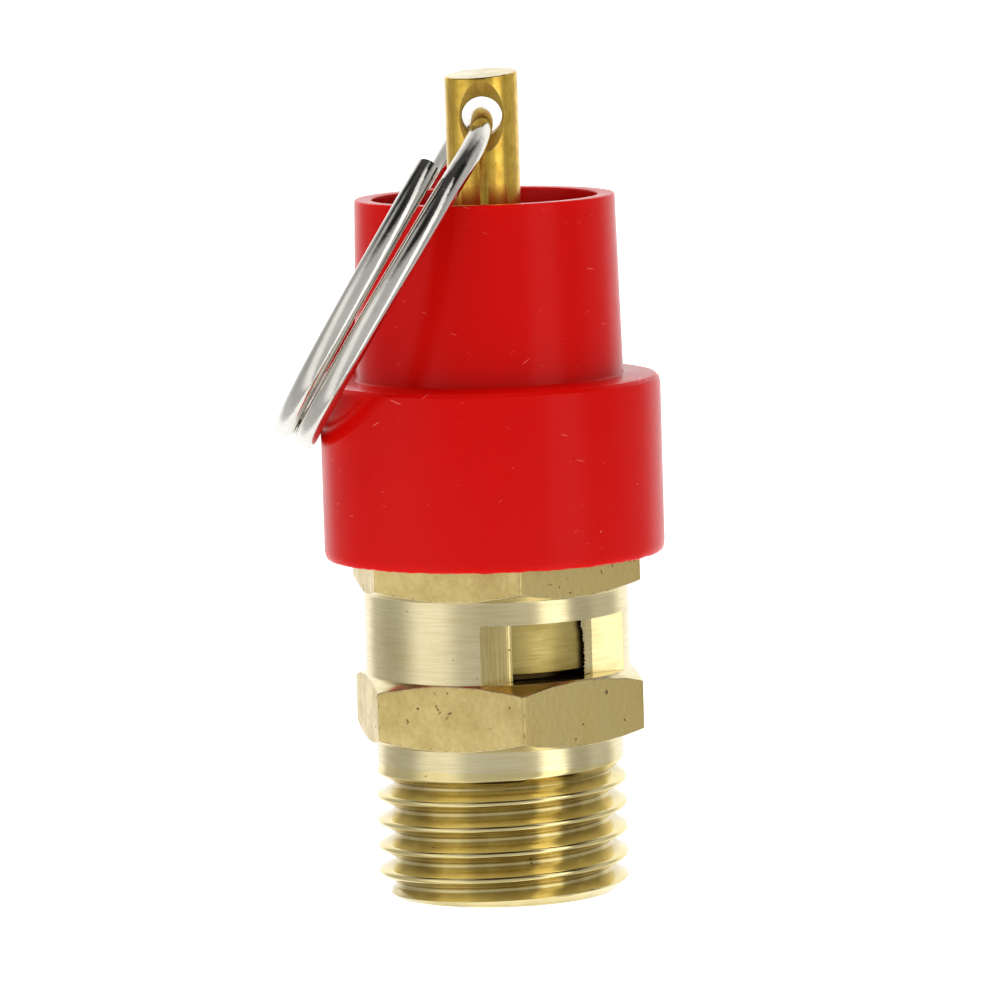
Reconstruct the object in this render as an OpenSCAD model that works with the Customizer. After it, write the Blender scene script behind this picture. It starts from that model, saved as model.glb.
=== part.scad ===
// Pull-ring pressure relief valve with a 1/4 inch pipe thread inlet.
//
// The inlet thread points down and +Z runs up the valve's axis.
// The origin is the centre of the inlet port's mouth, on the thread's end face.
// The side that faces -Y shows one of the two exhaust windows and the cut end of the ring.
// Screw threads are cut as rings of the true pitch and depth, or left as plain cylinders
// inside the valve, so every crest and bore is a true cylinder.

/* [Inlet thread] */
// Outside diameter of the pipe thread, 13.157 for a 1/4 inch parallel pipe thread
thread_od = 13.157; // [12.9:0.001:13.2]
// Distance from one thread crest to the next
thread_pitch = 1.337; // [1.25:0.001:1.4]
// Height of the first full crest above the end face
first_crest_z = 1.5; // [1.2:0.05:1.6]
// Number of full thread crests
crest_count = 5; // [3:1:5]
// Diameter of the inlet port
inlet_d = 7.2; // [6.9:0.1:8.0]

/* [Body] */
// Hexagon size across flats
hex_af = 14; // [13.9:0.05:14.2]
// Direction of one hexagon corner, in degrees anticlockwise from +X
hex_corner_angle = -81.1; // [-90:0.1:-60]
// Height of the lower hexagon's underside
lower_hex_z = 8.25; // [8.1:0.05:8.5]
// Height of the lower hexagon's top
lower_hex_top = 11.75; // [11.5:0.05:12.0]
// Height of the upper hexagon's underside
upper_hex_z = 16.05; // [15.6:0.05:16.5]
// Diameter of the turned barrel between the hexagons
barrel_d = 13.85; // [13.6:0.05:13.85]
// Diameter of the chamber that the piston slides in
chamber_d = 11.4; // [11.2:0.05:11.5]

/* [Exhaust windows] */
// Distance from the axis to the milled flat
window_depth = 5.18; // [4.9:0.01:5.3]
// Direction that the front window faces, in degrees anticlockwise from +X
window_angle = -58.1; // [-90:0.1:-30]
// Height of the milled opening
window_h = 3.1; // [2.6:0.1:3.5]

/* [Dust cap] */
// Outside diameter of the skirt
skirt_d = 17.85; // [17.6:0.05:18.2]
// Height of the skirt's lower edge
skirt_z = 17.8; // [17.6:0.1:18.2]
// Height of the shoulder
shoulder_z = 27.15; // [27.0:0.05:27.6]
// Height of the open rim
rim_z = 36.6; // [35:0.1:37]
// Outside diameter of the tube at the shoulder
tube_d = 14; // [13.8:0.1:14.2]
// Outside diameter of the tube at the rim
rim_d = 13.6; // [13.4:0.1:13.8]

/* [Stem] */
// Diameter of the stem
stem_d = 3.8; // [3.6:0.05:3.8]
// Height of the stem's top
stem_top = 43.2; // [42.8:0.1:44]
// Height of the ring's hole
eye_z = 40.8; // [40.7:0.1:41.1]
// Diameter of the ring's hole
eye_d = 2.1; // [2.1:0.05:2.3]

/* [Pull ring] */
// Diameter of the ring's wire
ring_wire = 1.2; // [1.0:0.05:1.2]
// Diameter of the ring at the middle of its wire
ring_d = 19.1; // [19:0.1:20]
// Lean of the ring from straight down, in degrees
ring_lean = 32; // [32:0.1:36]
// Turn of the ring about the line it hangs along, in degrees
ring_yaw = 3.4; // [0:0.1:4]
// Angle of each cut end from the eye, in degrees
ring_cut = 48; // [42:1:60]

/* [Valve lift] */
// Height that the piston lifts off its seat
lift = 1.5; // [0.8:0.1:1.5]

/* [Hidden] */
$fn = 96;

// A cut runs this far past the surface that it opens
past = 1;
// Clearance of a thread or a loose fit inside the valve, on the radius
slack = 0.02;
// Clearance of the piston in its chamber, on the radius
running = 0.2;

// Inlet thread, in the 55 degree pipe form with flat crests and roots
thread_depth = 0.6403 * thread_pitch;
thread_r = thread_od / 2;
thread_root_r = thread_r - thread_depth;
flank_run = thread_depth * tan(27.5);
crest_flat = (thread_pitch - 2 * flank_run) / 2;
thread_end_r = 5.9;
lead_chamfer = 0.25;
runout_r = 6.42;
last_root_z = first_crest_z + (crest_count - 1) * thread_pitch + crest_flat / 2 + flank_run;
runout_z = last_root_z + (runout_r - thread_root_r) * tan(27.5);

// Body
corner_r = hex_af / 2 / cos(30);
hex_chamfer = 23;
hex_face_r = 0.986 * hex_af / 2;
upper_hex_top = upper_hex_z + 3.15;
neck_r = 6.9;
neck_top = upper_hex_top + 4;
chamber_r = chamber_d / 2;
chamber_floor = lower_hex_top - 0.15;
seat_bore_r = inlet_d / 2 - 0.4;
seat_lip_r = seat_bore_r + 0.9;
seat_lip_top = chamber_floor + 0.7;
seat_bore_z = 9;
adjuster_r = 6;
tapped_z = neck_top - 4.5;

// Piston and what it carries
piston_r = chamber_r - running;
piston_z = lower_hex_top + 0.3;
piston_top = piston_z + 4.95;
seal_r = seat_lip_r + 0.38;
seal_top = seat_lip_top + 1;
screw_r = 1;
washer_r = seat_bore_r - 0.75;
washer_h = 0.4;
stem_thread_r = 1.5;
stem_shoulder = piston_top + 2;

// Spring and adjuster
spring_seat_h = 0.6;
adjuster_z = piston_top + spring_seat_h + lift + 0.1;
adjuster_top = 32;
adjuster_neck_r = 5.2;
adjuster_neck_z = shoulder_z - 0.85 - 0.3;
pocket_r = 4.6;
pocket_top = 30.1;
spring_cap_h = 0.5;
spring_wire = 1.2;
spring_r = 3.7;
spring_turns = 7;
spring_closed_pitch = 1.04 * spring_wire;

// Dust cap
cap_grip_r = corner_r - 0.03;
cap_ceiling = shoulder_z - 0.85;
cap_wall = 0.9;

// Pull ring: the wire goes 1.74 times round, in two layers that touch, and crosses from one
// layer to the other where it passes through the stem's eye
ring_r = ring_d / 2;
ring_eye = [-0.06, 0, eye_z - 0.1];
ring_cross = 38;
ring_flare = 0.25;

// Ring solid between two radii and two heights
module collar(inner_r, outer_r, low, high) {
    difference() {
        translate([0, 0, low])
            cylinder(r = outer_r, h = high - low);
        translate([0, 0, low - past])
            cylinder(r = inner_r, h = high - low + 2 * past);
    }
}

// Hexagonal prism on the valve's axis, with a turned chamfer at each end
module chamfered_hex(af, face_r, low, high, angle) {
    reach = af / 2 / cos(30) + past;
    drop = (reach - face_r) * tan(hex_chamfer);
    intersection() {
        rotate([0, 0, angle])
            translate([0, 0, low])
                cylinder(r = af / 2 / cos(30), h = high - low, $fn = 6);
        rotate_extrude()
            polygon([
                [0, low], [face_r, low], [reach, low + drop],
                [reach, high - drop], [face_r, high], [0, high]
            ]);
    }
}

// Points of one thread crest, from the root below it to the root above it
function crest(z) = [
    [thread_root_r, z - crest_flat / 2 - flank_run],
    [thread_r, z - crest_flat / 2],
    [thread_r, z + crest_flat / 2],
    [thread_root_r, z + crest_flat / 2 + flank_run]
];

// Threaded end and its plain neck
module threaded_end() {
    lead_r = thread_end_r + lead_chamfer;
    rotate_extrude()
        polygon(concat(
            [
                [0, 0], [thread_end_r, 0], [lead_r, lead_chamfer],
                [thread_root_r, lead_chamfer + (lead_r - thread_root_r) * tan(27.5)]
            ],
            [for (k = [0 : crest_count - 1]) each crest(first_crest_z + k * thread_pitch)],
            [[runout_r, runout_z], [runout_r, lower_hex_z + 0.5], [0, lower_hex_z + 0.5]]
        ));
}

// Everything that is bored and tapped out of the body, from the inlet to the top of the neck
module body_bores() {
    translate([0, 0, -past])
        cylinder(d = inlet_d, h = seat_bore_z + past);
    cylinder(r = seat_bore_r, h = seat_lip_top + past);
    collar(seat_lip_r, chamber_r, chamber_floor, seat_lip_top);
    translate([0, 0, seat_lip_top])
        cylinder(r = chamber_r, h = neck_top - seat_lip_top);
    translate([0, 0, tapped_z])
        cylinder(r = adjuster_r, h = neck_top - tapped_z + past);
}

// Flat milled across the barrel, deep enough to open the chamber
module exhaust_window(angle) {
    rotate([0, 0, angle])
        translate([window_depth, -barrel_d / 2 - past, lower_hex_top])
            cube([barrel_d / 2, barrel_d + 2 * past, window_h]);
}

module valve_body() {
    color("#c9b878")
    difference() {
        union() {
            threaded_end();
            chamfered_hex(hex_af, hex_face_r, lower_hex_z, lower_hex_top, hex_corner_angle);
            translate([0, 0, lower_hex_top - 0.5])
                cylinder(d = barrel_d, h = upper_hex_z - lower_hex_top + 1);
            chamfered_hex(hex_af, hex_face_r, upper_hex_z, upper_hex_top, hex_corner_angle);
            translate([0, 0, upper_hex_top - 0.5])
                cylinder(r = neck_r, h = neck_top - upper_hex_top + 0.5);
        }
        body_bores();
        exhaust_window(window_angle);
        exhaust_window(window_angle + 180);
    }
}

// Brass piston with a pocket for the seal below and balancing grooves round it
module valve_piston() {
    groove_z = piston_top - 1.4;
    color("#b9974a")
    difference() {
        translate([0, 0, piston_z])
            cylinder(r = piston_r, h = piston_top - piston_z);
        translate([0, 0, piston_z - past])
            cylinder(r = seal_r + slack, h = seal_top - piston_z + past);
        translate([0, 0, seal_top - past])
            cylinder(r = screw_r + slack, h = past + 0.9);
        translate([0, 0, piston_top - 2.4])
            cylinder(r = stem_thread_r + slack, h = 2.4 + past);
        for (k = [0 : 1])
            collar(piston_r - 0.2, piston_r + past, groove_z + 0.7 * k, groove_z + 0.7 * k + 0.35);
    }
}

module seat_seal() {
    color("#20201f")
        collar(screw_r + slack, seal_r, seat_lip_top, seal_top);
}

module seal_washer() {
    color("#b8b8b4")
        collar(screw_r + slack, washer_r, seat_lip_top - washer_h, seat_lip_top);
}

// Slotted pan-head screw that holds the seal and its washer to the piston
module seal_screw() {
    head_r = 1.9;
    head_h = 1.1;
    head_top = seat_lip_top - washer_h;
    shank_top = seal_top + 0.7;
    color("#c2a55a")
    difference() {
        union() {
            translate([0, 0, head_top - head_h])
                cylinder(r1 = head_r - 0.25, r2 = head_r, h = 0.25);
            translate([0, 0, head_top - head_h + 0.25])
                cylinder(r = head_r, h = head_h - 0.25);
            translate([0, 0, head_top - 0.2])
                cylinder(r = screw_r, h = shank_top - head_top + 0.2);
        }
        translate([-head_r - past, -0.25, head_top - head_h - past])
            cube([2 * (head_r + past), 0.5, past + 0.5]);
    }
}

// Pull stem: a threaded foot, a plain shank and the eye for the ring, countersunk both sides
module lift_stem() {
    sink_slope = tan(59);
    sink_r = 1.85;
    sink_depth = (sink_r - eye_d / 2) / sink_slope;
    edge = 0.15;
    color("#c8a83c")
    difference() {
        rotate_extrude()
            polygon([
                [0, piston_top - 2.3], [stem_thread_r - 0.2, piston_top - 2.3],
                [stem_thread_r, piston_top - 2.1], [stem_thread_r, stem_shoulder],
                [stem_d / 2 - edge, stem_shoulder], [stem_d / 2, stem_shoulder + edge],
                [stem_d / 2, stem_top - edge], [stem_d / 2 - edge, stem_top], [0, stem_top]
            ]);
        translate([0, 0, eye_z])
            rotate([90, 0, 0])
                cylinder(d = eye_d, h = stem_d + 2 * past, center = true);
        for (side = [-1, 1])
            translate([0, side * (stem_d / 2 - sink_depth), eye_z])
                rotate([-90 * side, 0, 0])
                    cylinder(r1 = eye_d / 2, r2 = eye_d / 2 + past * sink_slope, h = past);
    }
}

module stem_lock_nut() {
    nut_af = 5.5;
    nut_h = 1.6;
    color("#b8b8b4")
    difference() {
        chamfered_hex(nut_af, 0.48 * nut_af, piston_top, piston_top + nut_h, 0);
        translate([0, 0, piston_top - past])
            cylinder(r = stem_thread_r + slack, h = nut_h + 2 * past);
    }
}

module spring_seat() {
    color("#b8b8b4")
        collar(3.4, 5.4, piston_top, piston_top + spring_seat_h);
}

// Closed tube along a list of centre points: side_a and side_b give the wire's cross-section
// axes at each point, and every ring of corners has the same number of sides
module swept_wire(centres, side_a, side_b, wire_r, sides) {
    count = len(centres);
    corners = [
        for (i = [0 : count - 1], k = [0 : sides - 1])
            centres[i] + wire_r * (cos(360 * k / sides) * side_a[i] + sin(360 * k / sides) * side_b[i])
    ];
    walls = [
        for (i = [0 : count - 2], k = [0 : sides - 1])
            let (a = i * sides + k, b = i * sides + (k + 1) % sides)
                [a, a + sides, b + sides, b]
    ];
    ends = [
        [for (k = [0 : sides - 1]) k],
        [for (k = [sides - 1 : -1 : 0]) (count - 1) * sides + k]
    ];
    polyhedron(points = corners, faces = concat(walls, ends), convexity = 10);
}

// Height that the spring's wire has climbed at a turn count: a closed coil at each end, with an
// even pitch between them
function coil_climb(turn, pitch) =
    let (closed = min(turn, 1) + max(turn - spring_turns + 1, 0))
        closed * spring_closed_pitch + (turn - closed) * pitch;

module main_spring() {
    steps = 16;
    low = piston_top + spring_seat_h + spring_wire / 2 + slack;
    high = pocket_top - spring_cap_h - spring_wire / 2 - slack;
    pitch = (high - low - 2 * spring_closed_pitch) / (spring_turns - 2);
    turns = [for (i = [0 : steps * spring_turns]) i / steps];
    centres = [
        for (t = turns)
            [spring_r * cos(360 * t), spring_r * sin(360 * t), low + coil_climb(t, pitch)]
    ];
    outward = [for (t = turns) [cos(360 * t), sin(360 * t), 0]];
    upward = [for (t = turns) [0, 0, 1]];
    color("#8f9196")
        swept_wire(centres, upward, outward, spring_wire / 2, 8);
}

module spring_cap() {
    color("#b8b8b4")
        collar(stem_d / 2 + 0.2, pocket_r - 0.15, pocket_top - spring_cap_h, pocket_top);
}

// Hollow screw that sets the spring, with a slot across its top
module adjusting_screw() {
    slot_w = 1.2;
    slot_h = 1.0;
    edge = 0.3;
    color("#bf9f55")
    difference() {
        rotate_extrude()
            polygon([
                [stem_d / 2 + 0.08, pocket_top], [pocket_r, pocket_top], [pocket_r, adjuster_z],
                [adjuster_r - slack - edge, adjuster_z], [adjuster_r - slack, adjuster_z + edge],
                [adjuster_r - slack, adjuster_neck_z - edge], [adjuster_r - slack - edge, adjuster_neck_z],
                [adjuster_neck_r, adjuster_neck_z], [adjuster_neck_r, adjuster_top - edge],
                [adjuster_neck_r - edge, adjuster_top], [stem_d / 2 + 0.08, adjuster_top]
            ]);
        translate([-adjuster_r, -slot_w / 2, adjuster_top - slot_h])
            cube([2 * adjuster_r, slot_w, slot_h + past]);
    }
}

module adjuster_lock_nut() {
    nut_af = 13;
    nut_top = neck_top + 2.8;
    color("#c9b06a")
    difference() {
        chamfered_hex(nut_af, 0.98 * nut_af / 2, neck_top, nut_top, 0);
        translate([0, 0, neck_top - past])
            cylinder(r = adjuster_r, h = nut_top - neck_top + 2 * past);
    }
}

// Points of an arc of a turned profile
function arc(centre, r, from, to, steps = 5) = [
    for (i = [0 : steps])
        let (a = from + (to - from) * i / steps)
            centre + r * [cos(a), sin(a)]
];

// Two-step moulded cap: the skirt grips the upper hexagon and the tube is open at the top
module dust_cap() {
    skirt_r = skirt_d / 2;
    tube_r = tube_d / 2;
    rim_r = rim_d / 2;
    shoulder_round = 0.5;
    foot_round = 0.4;
    rim_round = 0.15;
    color("#d80f0f")
        rotate_extrude()
            polygon(concat(
                [[cap_grip_r + 0.25, skirt_z], [skirt_r - 0.12, skirt_z], [skirt_r, skirt_z + 0.12]],
                arc([skirt_r - shoulder_round, shoulder_z - shoulder_round], shoulder_round, 0, 90),
                arc([tube_r + foot_round, shoulder_z + foot_round], foot_round, 270, 180),
                arc([rim_r - rim_round, rim_z - rim_round], rim_round, 0, 90, 3),
                arc([rim_r - cap_wall + rim_round, rim_z - rim_round], rim_round, 90, 180, 3),
                [[tube_r - cap_wall, cap_ceiling], [cap_grip_r, cap_ceiling], [cap_grip_r, skirt_z + 0.25]]
            ));
}

// Offset of the wire from the ring's middle plane, at an angle from the eye: it crosses smoothly
// from the outer layer to the layer next to the cap, and the outer end springs away a little
function ring_layer(angle) =
    let (
        u = min(abs(angle) / ring_cross, 1),
        open = max(-angle - 180, 0) / (180 - ring_cut)
    )
        -sign(angle) * (ring_wire / 2 + slack) * (1.5 * u - 0.5 * u ^ 3) + ring_flare * open ^ 2;

// Split ring of round wire, hanging from the eye and leaning on the cap
module pull_ring() {
    steps = 104;
    down = [-sin(ring_lean), 0, -cos(ring_lean)];
    flat_out = [-cos(ring_lean), 0, sin(ring_lean)];
    flat_toward = [0, -1, 0];
    out = cos(ring_yaw) * flat_out - sin(ring_yaw) * flat_toward;
    toward = cos(ring_yaw) * flat_toward + sin(ring_yaw) * flat_out;
    // The wire runs nearly a full turn either side of the eye
    half_sweep = 360 - ring_cut;
    angles = [for (i = [0 : steps]) half_sweep * (2 * i / steps - 1)];
    outward = [for (a = angles) sin(a) * toward - cos(a) * down];
    across = [for (a = angles) out];
    centres = [
        for (i = [0 : steps])
            ring_eye + ring_r * (down + outward[i]) + ring_layer(angles[i]) * out
    ];
    color("#c9cbd0")
        swept_wire(centres, outward, across, ring_wire / 2, 12);
}

valve_body();
valve_piston();
seat_seal();
seal_washer();
seal_screw();
lift_stem();
stem_lock_nut();
spring_seat();
main_spring();
spring_cap();
adjusting_screw();
adjuster_lock_nut();
dust_cap();
pull_ring();
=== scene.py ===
"""Ring-pull pressure relief valve: a brass body with a pipe thread, a red dust cap and a pull ring.

Every length in the classes below is in millimetres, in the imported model's frame: +Z runs up the
valve's axis and the inlet's end face lies at z = 0. Meshes are scaled to metres as they are made.
"""

import logging
import math
from collections.abc import Callable
from dataclasses import dataclass, field
from enum import Enum
from functools import partial

import bmesh
import bpy
import numpy as np
from mathutils import Matrix, Vector


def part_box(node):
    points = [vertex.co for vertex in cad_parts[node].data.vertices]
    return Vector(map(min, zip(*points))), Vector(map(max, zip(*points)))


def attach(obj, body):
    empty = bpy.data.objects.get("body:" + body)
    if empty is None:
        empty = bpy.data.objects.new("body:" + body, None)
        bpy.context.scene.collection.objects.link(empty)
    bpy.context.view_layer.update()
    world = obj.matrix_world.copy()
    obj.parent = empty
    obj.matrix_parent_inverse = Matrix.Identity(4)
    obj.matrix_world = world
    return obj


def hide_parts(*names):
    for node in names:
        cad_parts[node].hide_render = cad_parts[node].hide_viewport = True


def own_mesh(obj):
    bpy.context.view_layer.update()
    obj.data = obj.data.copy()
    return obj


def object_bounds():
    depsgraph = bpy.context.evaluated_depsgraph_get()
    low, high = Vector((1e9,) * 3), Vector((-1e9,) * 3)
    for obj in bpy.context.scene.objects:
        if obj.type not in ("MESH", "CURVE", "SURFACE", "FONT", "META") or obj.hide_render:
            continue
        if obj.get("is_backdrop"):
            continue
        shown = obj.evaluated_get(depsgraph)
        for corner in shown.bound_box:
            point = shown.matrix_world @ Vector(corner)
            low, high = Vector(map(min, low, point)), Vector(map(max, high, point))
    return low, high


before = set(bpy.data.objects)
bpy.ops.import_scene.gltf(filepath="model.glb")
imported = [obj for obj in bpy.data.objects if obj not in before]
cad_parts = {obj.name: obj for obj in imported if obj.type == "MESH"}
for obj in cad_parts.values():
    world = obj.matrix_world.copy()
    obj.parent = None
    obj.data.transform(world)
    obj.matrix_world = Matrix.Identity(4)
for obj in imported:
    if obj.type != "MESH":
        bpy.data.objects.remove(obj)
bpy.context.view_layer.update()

LOG = logging.getLogger("relief_valve")
MM = 0.001
FILLET_STEPS = 3
SHARP_ANGLE = math.radians(32)
SKIN = 0.03
UP = Vector((0, 0, 1))


# ---------------------------------------------------------------- colours and nodes


def linear(hex_colour: str) -> tuple[float, float, float, float]:
    """Turns an sRGB hex colour into the linear one that a shader takes, with an alpha of 1.

    Args:
        hex_colour: The colour, as "#RRGGBB".

    Returns:
        Red, green, blue and alpha.
    """
    parts = [int(hex_colour[i : i + 2], 16) / 255 for i in (1, 3, 5)]
    light = [p / 12.92 if p <= 0.04045 else ((p + 0.055) / 1.055) ** 2.4 for p in parts]
    return (*light, 1.0)


def add_node(
    tree: bpy.types.NodeTree, kind: str, links: dict | None = None, out: int | str = 0, **settings
) -> bpy.types.NodeSocket | None:
    """Adds one node with its settings and its inputs.

    Args:
        tree: Node tree that the node goes into.
        kind: The node's type, without the leading "ShaderNode".
        links: What goes into each input, by name or number: another node's output, or a value.
        out: Name or number of the output that is wanted.
        **settings: Properties of the node.

    Returns:
        The wanted output, or nothing from a node that has no outputs.
    """
    node = tree.nodes.new("ShaderNode" + kind)
    for name, value in settings.items():
        setattr(node, name, value)
    for key, value in (links or {}).items():
        if isinstance(value, bpy.types.NodeSocket):
            tree.links.new(value, node.inputs[key])
        else:
            node.inputs[key].default_value = value
    return node.outputs[out] if node.outputs else None


def start_nodes(owner: bpy.types.Material | bpy.types.World) -> Callable:
    """Empties a material's or a world's node tree, ready to be filled.

    Args:
        owner: The material or world.

    Returns:
        The function that adds a node to it.
    """
    owner.use_nodes = True
    owner.node_tree.nodes.clear()
    return partial(add_node, owner.node_tree)


def surface_in_mm(node: Callable) -> bpy.types.NodeSocket:
    """Place on the piece's surface, in millimetres."""
    return node("VectorMath", {0: node("TexCoord", out="Object"), 1: (1 / MM,) * 3}, operation="MULTIPLY")


# ---------------------------------------------------------------- finishes


class Cut(Enum):
    """Which way the tool marks run over a metal surface, as the share of detail along X, Y and Z."""

    TURNED = (0.06, 0.06, 1.0)
    DRAWN = (1.0, 1.0, 0.05)
    MILLED = (0.10, 0.10, 1.0)
    TUMBLED = (1.0, 1.0, 1.0)


@dataclass(frozen=True)
class Metal:
    """A bare or plated metal with tool marks, tarnish and pits. Its lengths are in millimetres."""

    name: str
    colour: str
    tarnish: str
    roughness: float
    cut: Cut = Cut.TURNED
    mark_pitch: float = 0.12
    mark_depth: float = 0.0015
    mark_colour: float = 0.35
    tarnish_share: float = 0.35
    blotch_size: float = 2.5
    pit_size: float = 0.0
    pit_share: float = 0.0
    pit_depth: float = 0.03
    pit_colour: str = "#4A3A1C"
    stretch: float = 0.0
    edge_break: float = 0.04
    # The edge wear and its colour: rubbed edges, pale enough to paint a highlight along them
    edge_wear_and_highlight: float = 0.0
    edge_reach: float = 0.09
    edge_wear_highlight_colour: str = "#FBF2CF"
    nicks: float = 0.0
    nick_colour: str = "#6B5228"
    # The groove span and its colour paint shade into the bottoms of grooves round the axis
    groove: tuple = ()
    groove_shade_colour: str = "#5C4720"

    def build(self) -> bpy.types.Material:
        """Makes the procedural material, its patterns laid out in real millimetres.

        Returns:
            The material.
        """
        material = bpy.data.materials.new(self.name)
        node = start_nodes(material)
        in_mm = surface_in_mm(node)
        # Tool marks: noise squeezed across the cut and drawn out along it
        squeeze = tuple(share / self.mark_pitch for share in self.cut.value)
        along = node("VectorMath", {0: in_mm, 1: squeeze}, operation="MULTIPLY")
        marks = node("TexNoise", {"Vector": along, "Scale": 1.0, "Detail": 3.0})
        marks = node("MapRange", {0: marks, 1: 0.3, 2: 0.7}, interpolation_type="SMOOTHSTEP")
        # Tarnish: soft blotches, broken up by the tool marks
        blotch = node("TexNoise", {"Vector": in_mm, "Scale": 1 / self.blotch_size, "Detail": 5.0})
        blotch = node("MapRange", {0: blotch, 1: 0.38, 2: 0.68})
        mixed = node("Mix", {0: self.mark_colour, 2: blotch, 3: marks}, data_type="FLOAT")
        amount = node("Math", {0: mixed, 1: self.tarnish_share}, operation="MULTIPLY")
        shades = {0: amount, 6: linear(self.colour), 7: linear(self.tarnish)}
        colour = node("Mix", shades, out=2, data_type="RGBA")
        rough = node("MapRange", {0: mixed, 3: self.roughness * 0.8, 4: self.roughness * 1.25})
        normal = node("Bevel", {"Radius": self.edge_break * MM}, samples=4)
        # Painted shade in the bottoms of the grooves
        if self.groove:
            colour = self._painted_groove_shade(node, in_mm, colour)
        # Rubbed edges in a pale colour that also paints a highlight
        if self.edge_wear_and_highlight:
            colour, rough = self._worn_and_highlit(node, in_mm, colour, rough)
        if self.pit_size:
            colour, rough, normal = self._pitted(node, in_mm, colour, rough, normal)
        normal = node("Bump", {"Height": marks, "Distance": self.mark_depth * MM, "Normal": normal})
        inputs = {"Base Color": colour, "Roughness": rough, "Normal": normal, "Metallic": 1.0}
        if self.stretch:
            turned = node("Tangent", direction_type="RADIAL", axis="Z")
            inputs |= {"Anisotropic": self.stretch, "Anisotropic Rotation": 0.25, "Tangent": turned}
        node("OutputMaterial", {"Surface": node("BsdfPrincipled", inputs)})
        return material

    def _painted_groove_shade(self, node: Callable, in_mm, colour) -> bpy.types.NodeSocket:
        """Darkens the bottoms of grooves round the valve's axis, as painted shade.

        Args:
            node: The function that adds a node to the material.
            in_mm: Place on the surface in millimetres.
            colour: The colour so far.

        Returns:
            The colour with the painted groove shade.
        """
        flat = node("VectorMath", {0: in_mm, 1: (1, 1, 0)}, operation="MULTIPLY")
        radius = node("VectorMath", {0: flat}, out="Value", operation="LENGTH")
        inner, outer, most = self.groove
        span = {0: radius, 1: inner, 2: outer, 3: most, 4: 0.0}
        share = node("MapRange", span, interpolation_type="SMOOTHSTEP")
        cloud = node("TexNoise", {"Vector": in_mm, "Scale": 0.8, "Detail": 3.0})
        cloud = node("MapRange", {0: cloud, 1: 0.3, 2: 0.6, 3: 0.6, 4: 1.0})
        share = node("Math", {0: share, 1: cloud}, operation="MULTIPLY")
        return node("Mix", {0: share, 6: colour, 7: linear(self.groove_shade_colour)}, out=2, data_type="RGBA")

    def _worn_and_highlit(self, node: Callable, in_mm, colour, rough) -> tuple:
        """Brightens the metal unevenly along its edges, partly as metal rubbed bare and partly as a painted
        highlight.

        Args:
            node: The function that adds a node to the material.
            in_mm: Place on the surface in millimetres.
            colour: Colour before the wear.
            rough: Roughness before the wear.

        Returns:
            Colour and roughness with worn edges that carry a painted highlight.
        """
        flat = node("NewGeometry", out="Normal")
        rounded = node("Bevel", {"Radius": self.edge_reach * MM}, samples=6)
        turn = node("VectorMath", {0: flat, 1: rounded}, out="Value", operation="DOT_PRODUCT")
        edge = node("MapRange", {0: turn, 1: 0.995, 2: 0.93, 3: 0.0, 4: self.edge_wear_and_highlight})
        chips = node("TexNoise", {"Vector": in_mm, "Scale": 2.5, "Detail": 3.0})
        chips = node("MapRange", {0: chips, 1: 0.48, 2: 0.6})
        edge = node("Math", {0: edge, 1: chips}, operation="MULTIPLY")
        if self.nicks:
            colour = self._nicked(node, in_mm, colour, turn)
        colour = node("Mix", {0: edge, 6: colour, 7: linear(self.edge_wear_highlight_colour)}, out=2, data_type="RGBA")
        rough = node("Mix", {0: edge, 2: rough, 3: 0.3}, data_type="FLOAT")
        return colour, rough

    def _nicked(self, node: Callable, in_mm, colour, turn) -> bpy.types.NodeSocket:
        """Darkens small bruises along the corners, where turn falls below 1.

        Args:
            node: The function that adds a node to the material.
            in_mm: Place on the surface in millimetres.
            colour: The colour so far.
            turn: How nearly the surface runs on straight, 1 where it is flat.

        Returns:
            The bruised colour.
        """
        corner = node("MapRange", {0: turn, 1: 0.999, 2: 0.975, 3: 0.0, 4: 1.0})
        spots = node("TexNoise", {"Vector": in_mm, "Scale": 3.4, "Detail": 4.0})
        spots = node("MapRange", {0: spots, 1: 0.53, 2: 0.6, 3: 0.0, 4: self.nicks})
        nick = node("Math", {0: corner, 1: spots}, operation="MULTIPLY")
        return node("Mix", {0: nick, 6: colour, 7: linear(self.nick_colour)}, out=2, data_type="RGBA")

    def _pitted(self, node: Callable, in_mm, colour, rough, normal) -> tuple:
        """Adds dark pits and nicks, one in some of the cells of a loose grid.

        Args:
            node: The function that adds a node to the material.
            in_mm: Place on the surface in millimetres.
            colour: Colour before the pits.
            rough: Roughness before the pits.
            normal: Surface direction before the pits.

        Returns:
            Colour, roughness and surface direction with the pits in them.
        """
        wander = node("TexNoise", {"Vector": in_mm, "Scale": 2.2, "Detail": 2.0}, out=1)
        bent = node("VectorMath", {0: wander, 1: (0.9, 0.9, 0.9), 2: in_mm}, operation="MULTIPLY_ADD")
        far = node("TexVoronoi", {"Vector": bent, "Scale": 1 / (3.2 * self.pit_size)}, out="Distance")
        chosen = node("SeparateColor", {0: far.node.outputs["Color"]})
        chosen = node("MapRange", {0: chosen, 1: 1 - self.pit_share, 2: 1.0, 3: 0.0, 4: 0.3})
        hole = node("MapRange", {0: far, 1: 0.0, 2: chosen, 3: 1.0, 4: 0.0}, interpolation_type="SMOOTHSTEP")
        is_pit = node("Math", {0: chosen, 1: 0.01}, operation="GREATER_THAN")
        hole = node("Math", {0: hole, 1: is_pit}, operation="MULTIPLY")
        colour = node("Mix", {0: hole, 6: colour, 7: linear(self.pit_colour)}, out=2, data_type="RGBA")
        rough = node("Mix", {0: hole, 2: rough, 3: 0.65}, data_type="FLOAT")
        sunk = {"Height": hole, "Distance": self.pit_depth * MM, "Normal": normal}
        return colour, rough, node("Bump", sunk, invert=True)


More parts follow.
